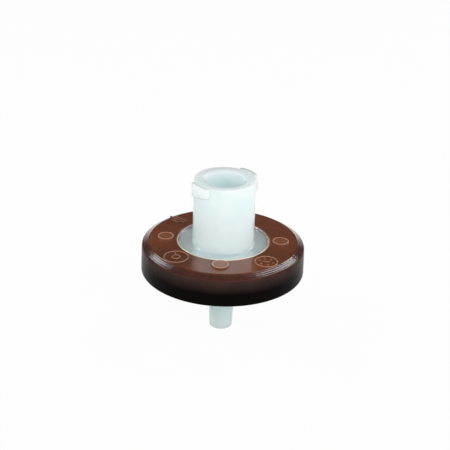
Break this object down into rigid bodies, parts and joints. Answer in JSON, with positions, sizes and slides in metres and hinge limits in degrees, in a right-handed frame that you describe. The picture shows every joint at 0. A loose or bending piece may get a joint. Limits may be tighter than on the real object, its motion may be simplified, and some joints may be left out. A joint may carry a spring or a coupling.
{
  "type": "syringe filter",
  "caption": "Small round membrane filter with a luer-lock inlet hub, a brown ring moulded round its disc and a narrow outlet tip.",
  "frame": {"origin": "centre of the luer inlet's mouth, in the plane of its flat rim", "axes": "+Z out of the inlet along the filter's axis, the way a syringe leaves; the outlet tip points down -Z; -Y is the side between the lugs that the picture shows"},
  "size_m": [0.0178, 0.0178, 0.0178],
  "materials": {
    "natural_plastic": "natural translucent polypropylene, satin gloss",
    "membrane": "matt white microporous film",
    "brown_plastic": "brown polypropylene, glossy, slightly see-through at thin edges"
  },
  "bodies": {
    "root": {"inlet_housing": "natural_plastic", "membrane": "membrane", "outlet_housing": "natural_plastic", "overmould_ring": "brown_plastic"}
  },
  "joints": []
}
